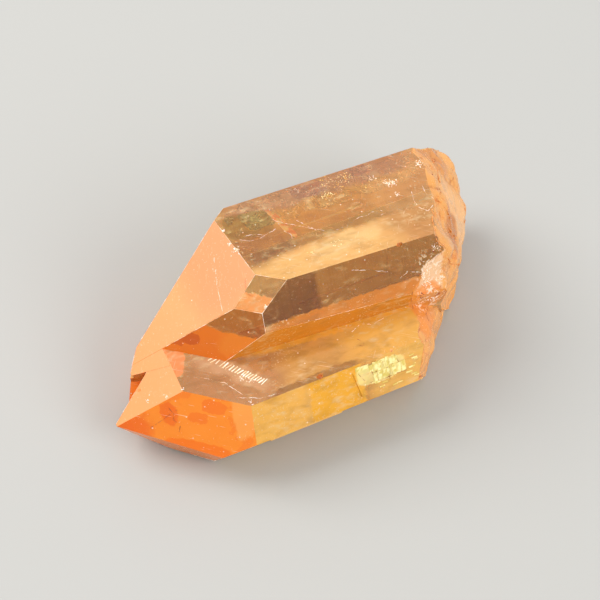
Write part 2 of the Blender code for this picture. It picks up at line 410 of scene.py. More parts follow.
FILM_ZONES = (
    (7, "#DE6E0A", 0.22, (18.0, 15.0, 20.0), (14.0, 14.0, 9.0), 0, 0.90, 0.20),
    (7, "#EC8A24", 0.24, (21.5, 13.6, 18.6), (3.4, 3.0, 1.9), 0, 0.55, 0.60),
    (8, "#FFA84E", 0.24, (17.6, 4.4, 12.2), (1.9, 2.5, 4.0), 0, 0.80, 0.20),
    (8, "#F27218", 0.18, (13.6, 7.4, 13.6), (2.0, 1.5, 1.1), 0, 0.75, 0.14),
    (8, "#F27218", 0.18, (10.9, 7.7, 11.4), (1.5, 1.3, 0.9), 0, 0.70, 0.16),
    (8, "#EE6A12", 0.18, (7.4, 10.9, 10.9), (0.9, 1.6, 2.0), 20, 0.80, 0.20),
    (8, "#F4720A", 0.18, (9.5, 5.5, 5.4), (6.0, 4.0, 2.0), 0, 0.85, 0.12),
    (8, "#EC640C", 0.18, (2.2, 13.0, 7.6), (2.6, 2.8, 2.6), 0, 0.80, 0.50),
    (7, "#BE4E0A", 0.18, (14.5, 18.3, 18.0), (1.4, 1.2, 1.0), 0, 0.80, 0.16),
    (7, "#BE4E0A", 0.18, (12.4, 18.9, 17.2), (0.9, 1.0, 0.8), 0, 0.65, 0.20),
)
# The film stops short of the upper corner of the large crystal's front tip face: middle, half size, edge.
CLEAR_WINDOW = ((22.4, 14.4, 23.3), (6.2, 6.5, 3.2), 0.16)
BREAK_ZONES = (
    (0, "#F2A254", 0.50, (71.0, 35.0, 21.5), (5.0, 4.0, 4.5), 0, 0.70, 0.50),
    (0, "#FFCE98", 0.28, (70.5, 25.0, 15.0), (5.5, 5.0, 7.0), 0, 0.70, 0.60),
    (0, "#DE8A40", 0.50, (66.0, 20.5, 18.5), (1.5, 4.2, 6.0), -30, 0.75, 0.50),
    (0, "#FFE2C0", 0.20, (55.4, 11.4, 20.5), (2.4, 2.2, 4.8), 0, 0.55, 0.40),
    (0, "#FF9C40", 0.30, (54.2, 8.2, 15.6), (3.2, 4.2, 4.4), 0, 0.80, 0.20),
    (0, "#FFB45C", 0.50, (59.4, 10.2, 8.0), (4.0, 3.0, 7.0), 0, 0.60, 0.60),
)
# Frosted white chips at the front corner of the break, above the small crystal.
FROSTED_CHIPS = ((55.6, 11.2, 19.4), (3.0, 2.6, 6.4), 0.50, 0.75)


QUARTZ_IOR = 1.544
# How fast the stone takes light out, for each metre of depth.
ABSORPTION = 34.0


def push(tree, colour, reach):
    """A noise colour turned into a shift of up to half this reach each way."""
    centred = {0: colour, 1: (0.5, 0.5, 0.5)}
    shift = add(tree, "ShaderNodeVectorMath", centred, operation="SUBTRACT").outputs[0]
    return add(tree, "ShaderNodeVectorMath", {0: shift, "Scale": reach}, operation="SCALE").outputs[0]


def drifted(tree, where, size, reach):
    """Coordinates pushed about by soft noise, so that edges drawn on them wander."""
    inputs = {"Vector": where, "Scale": 1 / size, "Detail": 3.0}
    drift = push(tree, add(tree, "ShaderNodeTexNoise", inputs).outputs["Color"], reach)
    return add(tree, "ShaderNodeVectorMath", {0: where, 1: drift}, operation="ADD").outputs[0]


def nearness(tree, where, middle, half, edge, strength=1.0, turn=0):
    """Full inside a rounded box of this middle and half size, none outside it."""
    inputs = {"Vector": where, "Location": middle, "Rotation": (0, 0, math.radians(turn)), "Scale": half}
    local = add(tree, "ShaderNodeMapping", inputs, vector_type="TEXTURE").outputs[0]
    square = add(tree, "ShaderNodeVectorMath", {0: local, 1: local}, operation="MULTIPLY").outputs[0]
    far = add(tree, "ShaderNodeVectorMath", {0: square}, operation="LENGTH").outputs["Value"]
    return ramp(tree, far, 1 + edge, 1 - edge, 0.0, strength)


def lay_zones(tree, where, colour, clear, zones):
    """Lay coloured zones over a colour, the later ones on top."""
    loose, tight = drifted(tree, where, 2.8, 3.0), drifted(tree, where, 1.0, 1.0)
    number = finish_share(tree, "facet")
    for facet, tint, clearness, middle, half, turn, strength, edge in zones:
        place = tight if edge < 0.3 else loose
        share = nearness(tree, place, middle, half, edge, strength, turn)
        if facet:
            here = add(tree, "ShaderNodeMath", {0: number, 1: float(facet), 2: 0.4}, operation="COMPARE")
            share = calc(tree, "MULTIPLY", share, here.outputs[0])
        colour = blend_colour(tree, share, colour, tint)
        clear = blend_value(tree, share, clear, clearness)
    return colour, clear


def side_colour(tree, where):
    """Golden quartz: coloured zones, some of them painted glow and shade, smoky mottles, patches of fine
    haze and painted sparkle.
    """
    colour = blend_colour(tree, grain(tree, where, 7.0, 3.0), "#FFCC68", "#FFDA84")
    colour, clear = lay_zones(tree, where, colour, 0.85, SIDE_STAIN_GLOW_AND_SHADE_ZONES)
    along = stretched(tree, where, -6, (2.2, 1.0, 1.0))
    smoke = ramp(tree, grain(tree, along, 1.5, 10.0, 0.3), 0.42, 0.78)
    colour = blend_colour(tree, calc(tree, "MULTIPLY", smoke, 0.42), colour, "#A27630")
    haze = ramp(tree, grain(tree, along, 0.8, 10.0, 0.2), 0.44, 0.78)
    haze = calc(tree, "MULTIPLY", haze, ramp(tree, grain(tree, where, 7.0, 3.0), 0.42, 0.60, 0.08, 0.60))
    # Painted sparkle: tiny pale specks, gathered in patches, that stand in for glints; they are folded into
    # the haze below.
    sparkle = ramp(tree, grain(tree, where, 0.38, 2.0), 0.60, 0.68)
    gathered = ramp(tree, grain(tree, where, 5.0, 3.0), 0.46, 0.62, 0.05, 0.55)
    sparkle = calc(tree, "MULTIPLY", sparkle, gathered)
    haze = calc(tree, "MAXIMUM", haze, sparkle)
    colour = blend_colour(tree, haze, colour, "#FFE6B0")
    clear = blend_value(tree, haze, clear, 0.45)
    return colour, clear


def scratch_lines(tree, where, turn, length, width, amount):
    """Fine handling scratches, drawn about 0.2 mm wide so that they show."""
    lines = grain(tree, stretched(tree, where, turn, (length, width, width)), 1.0, 1.0)
    return ramp(tree, lines, 1 - amount, 1 - amount + 0.06)


def quartz():
    """Iron-stained quartz, clear inside: glossy see-through sides, etched or filmed tips, a milky break."""
    material, tree, shader = blank_material("iron_stained_quartz")
    where = stone_place(tree)
    colour, clear = side_colour(tree, where)
    frosted = finish_share(tree, "frosted")
    filmed = finish_share(tree, "filmed")
    broken = finish_share(tree, "broken")
    worn = finish_share(tree, "worn")
    rough = 0.035

    # The back and the underside are etched milky, and throw the light back through the stone.
    milky = finish_share(tree, "milky")
    back = blend_colour(tree, grain(tree, where, 6.0, 4.0), "#FFCE5C", "#FFDE84")
    blush = ramp(tree, grain(tree, where, 9.0, 5.0), 0.45, 0.62, 0.0, 0.5)
    back = blend_colour(tree, blush, back, "#FFB878")
    striped = grain(tree, stretched(tree, where, 0, (0.5, 40.0, 40.0)), 1.0, 3.0)
    back = blend_colour(tree, ramp(tree, striped, 0.5, 0.7, 0.0, 0.22), back, "#C88A38")
    colour = blend_colour(tree, milky, colour, back)
    clear = blend_value(tree, milky, clear, 0.42)
    rough = blend_value(tree, milky, rough, 0.18)

    # Frosted main tip face: an even, finely etched peach, a little deeper towards its upper edge.
    peach = blend_colour(tree, grain(tree, where, 9.0, 2.0), "#F29450", "#F59A56")
    shade = nearness(tree, drifted(tree, where, 2.8, 3.0), (23.5, 25.0, 25.5), (7.0, 9.0, 6.0), 0.8, 0.7)
    peach = blend_colour(tree, shade, peach, "#DC8244")
    etch = scratch_lines(tree, where, 62, 9.0, 0.28, 0.34)
    peach = blend_colour(tree, calc(tree, "MULTIPLY", etch, 0.22), peach, "#FFC090")
    colour = blend_colour(tree, frosted, colour, peach)
    clear = blend_value(tree, frosted, clear, 0.12)
    rough = blend_value(tree, frosted, rough, 0.32)

    # Iron film on the lower tip faces: sharp-edged deeper patches in a thin orange skin.
    film = blend_colour(tree, grain(tree, where, 3.0, 5.0, 0.5), "#F6861C", "#FA922C")
    patches = ramp(tree, grain(tree, where, 4.6, 5.0, 0.5), 0.55, 0.59, 0.0, 0.4)
    film = blend_colour(tree, patches, film, "#EE6C18")
    film, film_clear = lay_zones(tree, where, film, 0.18, FILM_ZONES)
    window = nearness(tree, drifted(tree, where, 1.2, 0.8), *CLEAR_WINDOW)
    covered = calc(tree, "SUBTRACT", 1.0, calc(tree, "MULTIPLY", window, 0.9))
    filmed = calc(tree, "MULTIPLY", filmed, covered)
    colour = blend_colour(tree, filmed, colour, film)
    clear = blend_value(tree, filmed, clear, film_clear)
    rough = blend_value(tree, filmed, rough, 0.16)

    # The break: milky peach, deeper orange in its creases, with frosted white chips at its front corner.
    milk = blend_colour(tree, grain(tree, where, 5.0, 4.0), "#FAAC54", "#FCBC70")
    veins = ramp(tree, grain(tree, where, 2.2, 5.0, 1.5), 0.56, 0.68)
    milk = blend_colour(tree, calc(tree, "MULTIPLY", veins, 0.60), milk, "#EE8C3C")
    hollow = ramp(tree, finish_share(tree, "hollow"), 0.08, 0.85)
    milk = blend_colour(tree, calc(tree, "MULTIPLY", hollow, 0.70), milk, "#CC7630")
    milk, milk_clear = lay_zones(tree, where, milk, 0.30, BREAK_ZONES)
    chips = ramp(tree, grain(tree, where, 0.9, 6.0, 1.0), 0.55, 0.59)
    chips = calc(tree, "MULTIPLY", chips, nearness(tree, where, *FROSTED_CHIPS))
    colour = blend_colour(tree, broken, colour, milk)
    colour = blend_colour(tree, chips, colour, "#FFE8CC")
    clear = blend_value(tree, broken, clear, milk_clear)
    clear = blend_value(tree, chips, clear, 0.10)
    rough = blend_value(tree, broken, rough, 0.24)

    # Worn edges are crushed to a thin pale line, which is in part a painted highlight along the edges.
    chipped_and_highlight = calc(tree, "MULTIPLY", worn, ramp(tree, grain(tree, where, 1.4, 5.0), 0.46, 0.60, 0.05, 0.9))
    colour = blend_colour(tree, chipped_and_highlight, colour, "#FFE4C0")
    clear = blend_value(tree, chipped_and_highlight, clear, 0.25)
    rough = blend_value(tree, worn, rough, 0.30)

    # Handling scratches and dust on the clear faces.
    marks = scratch_lines(tree, where, -38, 5.0, 0.2, 0.30)
    marks = calc(tree, "MAXIMUM", marks, scratch_lines(tree, where, 51, 3.5, 0.2, 0.27))
    dots = add(tree, "ShaderNodeTexVoronoi", {"Vector": where, "Scale": 0.8}, feature="F1")
    dust = ramp(tree, dots.outputs["Distance"], 0.13, 0.08)
    kept = add(tree, "ShaderNodeSeparateColor", {0: dots.outputs["Color"]}).outputs[0]
    dust = calc(tree, "MULTIPLY", dust, ramp(tree, kept, 0.62, 0.66))
    dust = calc(tree, "MULTIPLY", dust, calc(tree, "SUBTRACT", 1.0, broken))
    pale = calc(tree, "MAXIMUM", calc(tree, "MULTIPLY", marks, 0.34), calc(tree, "MULTIPLY", dust, 0.70))
    colour = blend_colour(tree, pale, colour, "#FFF0D8")
    clear = blend_value(tree, pale, clear, 0.2)
    rough = calc(tree, "ADD", rough, calc(tree, "MULTIPLY", marks, 0.18))
    height = calc(tree, "ADD", calc(tree, "MULTIPLY", marks, -0.5), grain(tree, where, 1.8, 3.0))
    rocky = nearness(tree, where, CRUSHED_TOP, (7.0, 6.0, 6.0), 0.6, 14.0)
    rocky = calc(tree, "MULTIPLY", calc(tree, "ADD", rocky, 5.0), grain(tree, where, 1.0, 6.0))
    height = calc(tree, "ADD", height, calc(tree, "MULTIPLY", broken, rocky))
    height = calc(tree, "ADD", height, calc(tree, "MULTIPLY", milky, calc(tree, "MULTIPLY", striped, 3.0)))
    shader.inputs["IOR"].default_value = QUARTZ_IOR
    shader.inputs["Specular IOR Level"].default_value = 0.3
    bump = add(tree, "ShaderNodeBump", {"Height": height, "Strength": 0.12, "Distance": 0.1 * MM})
    tree.links.new(bump.outputs[0], shader.inputs["Normal"])
    tree.links.new(colour, shader.inputs["Base Color"])
    tree.links.new(clear, shader.inputs["Transmission Weight"])
    tree.links.new(rough, shader.inputs["Roughness"])
    depth = add(tree, "ShaderNodeVolumeAbsorption", {"Color": linear("#FFE65C"), "Density": ABSORPTION})
    tree.links.new(depth.outputs[0], tree.nodes["Material Output"].inputs["Volume"])
    return material


stone.data.materials.append(quartz())
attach(stone, "root")
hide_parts("crystal")

# ----------------------------------------------
# A healed fracture: a thin, wrinkled pearly sheet that runs just under the top of the large crystal,
# along its back edge. It grew shut inside the quartz, so it only shows as rose-brown lobes and folds.
VEIL_LENGTH = 37.0
VEIL_WIDTH = 6.6
VEIL_MIDDLE = (45.5, 30.6, 26.2)
VEIL_TURN = math.radians(-1.0)
VEIL_STEPS = (150, 30)
VEIL_THICK = 0.05
VEIL_FOLD = 0.42
VEIL_FOLD_SIZE = (5.0, 3.0)
VEIL_CREASE = 0.30
VEIL_CREASE_SIZE = 3.4
VEIL_RAGGED_SIZE = 2.2


def veil_mesh():
    """A grid with broad folds and sharp creases, its rim eaten back, then given a thickness."""
    bm = bmesh.new()
    bmesh.ops.create_grid(bm, x_segments=VEIL_STEPS[0], y_segments=VEIL_STEPS[1], size=0.5)
    for vert in bm.verts:
        x, y = vert.co.x * VEIL_LENGTH, vert.co.y * VEIL_WIDTH
        near = noise.voronoi(Vector((x / VEIL_CREASE_SIZE, y / VEIL_CREASE_SIZE * 1.4, 3.0)))[0]
        crease = min(near[1] - near[0], 0.4)
        fold = noise.noise(Vector((x / VEIL_FOLD_SIZE[0], y / VEIL_FOLD_SIZE[1], 8.0)))
        z = VEIL_FOLD * fold + VEIL_CREASE * crease
        vert.co = Vector((x, y, z))
    rim = [vert for vert in bm.verts if veil_edge(vert.co) > 1]
    bmesh.ops.delete(bm, geom=rim, context="VERTS")
    bmesh.ops.solidify(bm, geom=bm.faces[:], thickness=VEIL_THICK)
    bmesh.ops.recalc_face_normals(bm, faces=bm.faces[:])
    mesh = bpy.data.meshes.new("healed_fracture")
    bm.to_mesh(mesh)
    bm.free()
    mesh.shade_smooth()
    turn = Matrix.Rotation(VEIL_TURN, 4, "Z") @ Matrix.Scale(MM, 4)
    mesh.transform(Matrix.Translation(spot(*VEIL_MIDDLE)) @ turn)
    return mesh


def veil_edge(place):
    """Over 1 outside the ragged outline of the sheet."""
    ragged = 0.35 * noise.noise(Vector((place.x / VEIL_RAGGED_SIZE, place.y / VEIL_RAGGED_SIZE, 5.0)))
    across = abs(place.y) / (VEIL_WIDTH / 2)
    along = abs(place.x) / (VEIL_LENGTH / 2)
    return (across**4 + along**6) ** 0.25 + ragged


def pearly_film():
    """Light caught on a closed crack: rose-brown and silky, paler along its folds, partly see-through."""
    material, tree, shader = blank_material("pearly_fracture_film")
    where = stone_place(tree)
    clouds = grain(tree, where, 2.4, 4.0, 0.8)
    colour = blend_colour(tree, ramp(tree, clouds, 0.35, 0.65), "#C58468", "#EDBE9A")
    rings = calc(tree, "FRACT", calc(tree, "MULTIPLY", grain(tree, where, 3.4, 2.5, 0.8), 7.0))
    rings = calc(tree, "ABSOLUTE", calc(tree, "SUBTRACT", rings, 0.5))
    broken_up = ramp(tree, grain(tree, where, 1.6, 3.0), 0.44, 0.60)
    lines = calc(tree, "MULTIPLY", ramp(tree, rings, 0.15, 0.03), broken_up)
    colour = blend_colour(tree, lines, colour, "#FFDCC0")
    wisps = ramp(tree, clouds, 0.4, 0.62, 0.10, 0.55)
    cover = calc(tree, "MAXIMUM", calc(tree, "MULTIPLY", lines, 0.95), wisps)
    tree.links.new(colour, shader.inputs["Base Color"])
    tree.links.new(cover, shader.inputs["Alpha"])
    shader.inputs["Roughness"].default_value = 0.3
    shader.inputs["Sheen Weight"].default_value = 0.4
    return material


def add_piece(name, mesh, material):
    """Keep a finished mesh inside the stone's own box and let it move with the stone."""
    keep_inside(mesh.vertices)
    if material.name not in mesh.materials:
        mesh.materials.clear()
        mesh.materials.append(material)
    piece = bpy.data.objects.new(name, mesh)
    bpy.context.collection.objects.link(piece)
    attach(piece, "root")
    return piece


add_piece("healed_fracture", veil_mesh(), pearly_film())

# ----------------------------------------------
# The slit crack near the tip: a flat lens of air with iron stain along it, standing on edge under the
# top face of the large crystal.
CRACK_START = (33.6, 32.0, 26.9)
CRACK_END = (35.3, 23.3, 27.1)
CRACK_DEPTH = 1.7
CRACK_THICK = 0.16
CRACK_LEAN = math.radians(62)
CRACK_BEND = 0.35


def crack_mesh():
    """A thin lens, bent a little, that hangs from the line between its two ends."""
    start, end = spot(*CRACK_START), spot(*CRACK_END)
    along = (end - start).normalized()
    up = Vector((0, 0, 1))
    side = up.cross(along).normalized()
    down = (-up * math.cos(CRACK_LEAN) + side * math.sin(CRACK_LEAN)).normalized()
    out = along.cross(down)
    bm = bmesh.new()
    bmesh.ops.create_icosphere(bm, subdivisions=4, radius=1.0)
    half = (end - start).length / 2
    middle = (start + end) / 2 + down * CRACK_DEPTH / 2 * MM
    for vert in bm.verts:
        x, y, z = vert.co
        bend = CRACK_BEND * noise.noise(Vector((x * 1.5, y, 2.0)))
        place = along * x * half + down * (y * CRACK_DEPTH / 2 * MM) + out * ((z * CRACK_THICK + bend) * MM)
        vert.co = middle + place
    mesh = bpy.data.meshes.new("slit_crack")
    bm.to_mesh(mesh)
    bm.free()
    mesh.shade_smooth()
    return mesh


def stained_slit():
    """Rust washed into a crack: coral red in the thick of it, fading to pale pink at the lips."""
    material, tree, shader = blank_material("iron_washed_crack")
    where = stone_place(tree)
    patches = ramp(tree, grain(tree, where, 1.1, 3.0), 0.38, 0.62)
    tree.links.new(blend_colour(tree, patches, "#F87840", "#FFDCC0"), shader.inputs["Base Color"])
    shader.inputs["Roughness"].default_value = 0.25
    return material


add_piece("slit_crack", crack_mesh(), stained_slit())

# ----------------------------------------------
# Growth steps on the small crystal: short raised bars side by side like the rungs of a ladder on its
# top face, and rows of small blocks on its front face. All are quartz, left by growth; their pale colour is
# a painted glint.
RUNG = (1.4, 0.17, 0.07)
RUNG_ROWS = (
    # how many, where the row starts and where it ends
    (3, (16.6, 14.9, 15.35), (17.4, 13.9, 15.35)),
    (8, (17.9, 13.2, 15.33), (20.2, 10.2, 15.33)),
    (3, (20.4, 9.9, 15.33), (20.9, 9.2, 15.33)),
    (5, (21.3, 8.8, 15.31), (22.4, 7.3, 15.3)),
)
RUNG_TURN = (0, 0, math.radians(16))
BLOCK = (0.86, 1.75, 0.08)
BLOCK_ROWS = (
    (10, (37.5, 3.1, 14.3), (44.4, 2.8, 14.2)),
    (7, (40.4, 1.9, 12.7), (45.8, 2.0, 12.8)),
)
BIT = (1.25, 0.26, 0.07)
BLOCK_BITS = (
    # middle, reach and how many
    ((42.0, 1.2, 11.3), 1.1, 6),
    ((45.8, 1.0, 11.2), 1.1, 6),
    ((47.4, 2.2, 13.0), 0.8, 4),
)
FRONT_FACE = Vector((-0.03, -0.87, 0.49))


def node_tree(name, inputs):
    """An empty Geometry Nodes tree with a mesh in, a mesh out and named inputs for its sizes."""
    tree = bpy.data.node_groups.new(name, "GeometryNodeTree")
    tree.interface.new_socket("Geometry", in_out="INPUT", socket_type="NodeSocketGeometry")
    for label, kind in inputs + (("Seed", "Int"), ("Material", "Material")):
        tree.interface.new_socket(label, in_out="INPUT", socket_type="NodeSocket" + kind)
    tree.interface.new_socket("Geometry", in_out="OUTPUT", socket_type="NodeSocketGeometry")
    start = add(tree, "NodeGroupInput").outputs
    end = add(tree, "NodeGroupOutput")
    return tree, start, end


def end_tree(tree, made, start, end):
    """Make the instances real, give them their material and close the tree."""
    real = add(tree, "GeometryNodeRealizeInstances", {0: made}).outputs[0]
    inputs = {"Geometry": real, "Material": start["Material"]}
    done = add(tree, "GeometryNodeSetMaterial", inputs).outputs[0]
    tree.links.new(done, end.inputs[0])
    return tree


def random_vector(tree, low, high, seed):
    """A random vector for each point, between two others."""
    inputs = {"Min": low, "Max": high, "Seed": seed}
    return add(tree, "FunctionNodeRandomValue", inputs, data_type="FLOAT_VECTOR").outputs["Value"]


def plate_tree():
    """A thin plate on each point, each a little different in size and turn."""
    tree, start, end = node_tree("plates", (("Size", "Vector"), ("Turn", "Vector")))
    plate = add(tree, "GeometryNodeMeshCube", {"Size": start["Size"]}).outputs[0]
    scale = random_vector(tree, (0.72, 0.60, 0.6), (1.12, 1.20, 1.3), start["Seed"])
    spread = random_vector(tree, (-0.03, -0.03, -0.14), (0.03, 0.03, 0.14), start["Seed"])
    turn = add(tree, "ShaderNodeVectorMath", {0: start["Turn"], 1: spread}, operation="ADD").outputs[0]
    inputs = {"Points": start["Geometry"], "Instance": plate, "Rotation": turn, "Scale": scale}
    return end_tree(tree, add(tree, "GeometryNodeInstanceOnPoints", inputs).outputs[0], start, end)


def line_mesh(name, places, edges=()):
    """A mesh of bare points, or of points joined by bare edges."""
    mesh = bpy.data.meshes.new(name)
    mesh.from_pydata([tuple(place) for place in places], list(edges), [])
    return mesh


def grow(name, tree, base, sizes):
    """Run a node tree on a base mesh and keep what it makes as a plain mesh."""
    bed = bpy.data.objects.new(name, base)
    bpy.context.collection.objects.link(bed)
    modifier = bed.modifiers.new(name, "NODES")
    modifier.node_group = tree
    for item in tree.interface.items_tree:
        if item.in_out == "INPUT" and item.name in sizes:
            modifier[item.identifier] = sizes[item.name]
    graph = bpy.context.evaluated_depsgraph_get()
    mesh = bpy.data.meshes.new_from_object(bed.evaluated_get(graph))
    bpy.data.objects.remove(bed)
    return mesh


def bright_quartz(name, first, second, rough):
    """Quartz that looks opaque, in two tones: bright where it is a painted glint, crushed white, or stained
    by iron.
    """
    material, tree, shader = blank_material(name)
    tone = ramp(tree, grain(tree, stone_place(tree), 0.7, 2.0), 0.35, 0.65)
    tree.links.new(blend_colour(tree, tone, first, second), shader.inputs["Base Color"])
    shader.inputs["Roughness"].default_value = rough
    return material


def row_spots(rows):
    """Points in rows, put on the nearest spot of the stone's surface."""
    spots = []
    for count, first, last in rows:
        for step in range(count):
            place = spot(*first).lerp(spot(*last), step / (count - 1))
            spots.append(surface.find_nearest(place)[0])
    return spots


def scatter(clusters, seed):
    """Random points on the stone's surface, bunched round each place."""
    chance = random.Random(seed)
    points = []
    for place, reach, count in clusters:
        for _ in range(count):
            step = Vector([chance.gauss(0, reach * MM) for _ in range(3)])
            points.append(surface.find_nearest(spot(*place) + step)[0])
    return points


surface = BVHTree.FromObject(stone, bpy.context.evaluated_depsgraph_get())
plates = plate_tree()
# The rungs, blocks and bits are painted glints: pale opaque quartz standing in for light glinting off the
# small crystal.
rung_painted_glint = bright_quartz("growth_ridge_painted_glint", "#F0CCA0", "#FFF4E0", 0.2)
rung_sizes = {"Size": [side * MM for side in RUNG], "Turn": RUNG_TURN, "Seed": 5, "Material": rung_painted_glint}
rungs = grow("growth_rungs", plates, line_mesh("rung_spots", row_spots(RUNG_ROWS)), rung_sizes)
add_piece("growth_rungs", rungs, rung_painted_glint)

block_painted_glint = bright_quartz("growth_block_painted_glint", "#D8BE5C", "#F6E8A0", 0.2)
lie_flat = FRONT_FACE.to_track_quat("Z", "Y").to_euler()
block_sizes = {"Size": [side * MM for side in BLOCK], "Turn": lie_flat, "Seed": 9, "Material": block_painted_glint}
blocks = grow("growth_blocks", plates, line_mesh("block_spots", row_spots(BLOCK_ROWS)), block_sizes)
add_piece("growth_blocks", blocks, block_painted_glint)
bit_sizes = dict(block_sizes, Size=[side * MM for side in BIT], Seed=3)
bits = grow("growth_bits", plates, line_mesh("bit_spots", scatter(BLOCK_BITS, 13)), bit_sizes)
add_piece("growth_bits", bits, block_painted_glint)

# ----------------------------------------------
# Chips. The edges are bruised here and there, and small crushed spots lie on the faces: quartz broken
# so fine that it looks white. Two clusters by the ladder rungs and the golden flakes are painted glints.
# The root carries rust specks. Each chip is tiny and half sunk.
BRUISE_STEP = 0.14
BRUISE_SIZE = 0.07
BRUISE_PATCH = 2.6
BRUISE_COVER = 0.56
WHITE_SPOTS = (
    # place, reach and how many
    ((25.55, 29.5, 27.2), 0.14, 9),
    ((25.3, 26.6, 27.2), 0.18, 12),
    ((25.6, 24.7, 27.4), 0.30, 30),
    ((56.1, 27.7, 27.1), 0.45, 46),
    ((57.0, 27.4, 27.1), 0.30, 18),
    ((56.0, 24.7, 27.2), 0.22, 16),
    ((54.2, 29.9, 26.9), 0.30, 14),
    ((63.3, 29.6, 26.9), 0.35, 30),
    ((25.5, 14.3, 25.0), 0.16, 12),
    ((5.2, 14.4, 11.3), 0.16, 9),
    ((7.7, 12.4, 13.4), 0.18, 9),
    ((10.0, 11.7, 15.2), 0.16, 8),
    ((18.6, 4.7, 15.1), 0.20, 10),
    # These two clusters below the ladder rungs are painted glints, laid as crushed white flakes.
    ((19.5, 9.5, 15.3), 0.34, 16),
    ((20.4, 8.4, 15.3), 0.34, 14),
    ((54.3, 11.6, 22.5), 0.55, 40),
    ((55.0, 10.8, 19.8), 0.60, 46),
    ((56.4, 10.1, 15.8), 0.40, 20),
    ((56.7, 13.0, 25.8), 0.35, 18),
    ((57.8, 10.9, 19.5), 0.35, 14),
)
GOLD_SPOTS = (
    ((44.8, 29.3, 27.0), 0.50, 26),
    ((45.6, 29.6, 27.0), 0.35, 12),
    ((48.5, 31.2, 26.9), 0.60, 26),
    ((50.4, 32.2, 26.8), 0.60, 26),
    ((46.8, 32.4, 26.8), 0.70, 22),
    ((52.4, 28.8, 27.0), 0.50, 8),
    ((41.0, 18.9, 27.7), 0.80, 14),
    ((36.0, 19.4, 27.7), 0.60, 8),
)
RUST_SPOTS = (
    ((65.1, 27.5, 25.4), 0.10, 7),
    ((56.2, 12.7, 25.1), 0.12, 6),
    ((53.4, 10.1, 18.4), 0.22, 12),
    ((53.6, 10.1, 17.2), 0.16, 9),
    ((56.9, 9.8, 16.9), 0.25, 10),
    ((71.5, 35.4, 20.5), 1.20, 10),
)


def flake_tree():
    """A squashed, angular grain on each point, turned and sized at random."""
    tree, start, end = node_tree("flakes", (("Size", "Float"),))
    flake = add(tree, "GeometryNodeMeshIcoSphere", {"Radius": start["Size"], "Subdivisions": 1}).outputs[0]
    turn = random_vector(tree, (-3.1, -3.1, -3.1), (3.1, 3.1, 3.1), start["Seed"])
    scale = random_vector(tree, (0.5, 0.3, 0.25), (1.7, 1.0, 0.6), start["Seed"])
    inputs = {"Points": start["Geometry"], "Instance": flake, "Rotation": turn, "Scale": scale}
    return end_tree(tree, add(tree, "GeometryNodeInstanceOnPoints", inputs).outputs[0], start, end)


def bruise_tree():
    """Grains strung along edges, only where a slow noise is high, so that they come in patches."""
    labels = (("Step", "Float"), ("Size", "Float"), ("Patch", "Float"), ("Cover", "Float"))
    tree, start, end = node_tree("edge_bruises", labels)
    curve = add(tree, "GeometryNodeMeshToCurve", {0: start["Geometry"]}).outputs[0]
    inputs = {"Curve": curve, "Length": start["Step"]}
    points = add(tree, "GeometryNodeCurveToPoints", inputs, mode="LENGTH")
    here = add(tree, "GeometryNodeInputPosition").outputs[0]
    scale = calc(tree, "DIVIDE", 1.0, start["Patch"])
    cloud = add(tree, "ShaderNodeTexNoise", {"Vector": here, "Scale": scale, "Detail": 2.0}).outputs["Fac"]
    inputs = {"A": cloud, "B": start["Cover"]}
    chosen = add(tree, "FunctionNodeCompare", inputs, operation="GREATER_THAN").outputs[0]
    flake = add(tree, "GeometryNodeMeshIcoSphere", {"Radius": start["Size"], "Subdivisions": 1}).outputs[0]
    turn = random_vector(tree, (-3.1, -3.1, -3.1), (3.1, 3.1, 3.1), start["Seed"])
    size = random_vector(tree, (0.4, 0.4, 0.3), (1.6, 1.1, 0.8), start["Seed"])
    inputs = {"Points": points.outputs[0], "Selection": chosen, "Instance": flake}
    inputs.update({"Rotation": turn, "Scale": size})
    return end_tree(tree, add(tree, "GeometryNodeInstanceOnPoints", inputs).outputs[0], start, end)


crushed = bright_quartz("crushed_white_quartz", "#FFE2C0", "#FFF8EC", 0.45)
flakes = flake_tree()
flake_sizes = {"Size": 0.13 * MM, "Seed": 2, "Material": crushed}
white = grow("crushed_spots", flakes, line_mesh("white_points", scatter(WHITE_SPOTS, 4)), flake_sizes)
add_piece("crushed_spots", white, crushed)

edge_ends = [end for line in edge_lines for end in line]
edge_pairs = [(first, first + 1) for first in range(0, len(edge_ends), 2)]
bruise_sizes = {"Step": BRUISE_STEP * MM, "Size": BRUISE_SIZE * MM, "Patch": BRUISE_PATCH * MM}
bruise_sizes.update({"Cover": BRUISE_COVER, "Seed": 6, "Material": crushed})
bruises = grow("edge_bruises", bruise_tree(), line_mesh("edges", edge_ends, edge_pairs), bruise_sizes)
add_piece("edge_bruises", bruises, crushed)

# Golden glints: tiny opaque flakes on the large crystal's top whose gold colour is a painted glint.
golden = bright_quartz("fracture_painted_glint", "#F8C460", "#FFF0B8", 0.25)
gold_sizes = {"Size": 0.12 * MM, "Seed": 8, "Material": golden}
glints = grow("golden_glints", flakes, line_mesh("gold_points", scatter(GOLD_SPOTS, 11)), gold_sizes)
add_piece("golden_glints", glints, golden)

rust = bright_quartz("iron_rust", "#7A2A12", "#B4481E", 0.6)
rust_sizes = {"Size": 0.12 * MM, "Seed": 3, "Material": rust}
specks = grow("rust_specks", flakes, line_mesh("rust_points", scatter(RUST_SPOTS, 21)), rust_sizes)
add_piece("rust_specks", specks, rust)

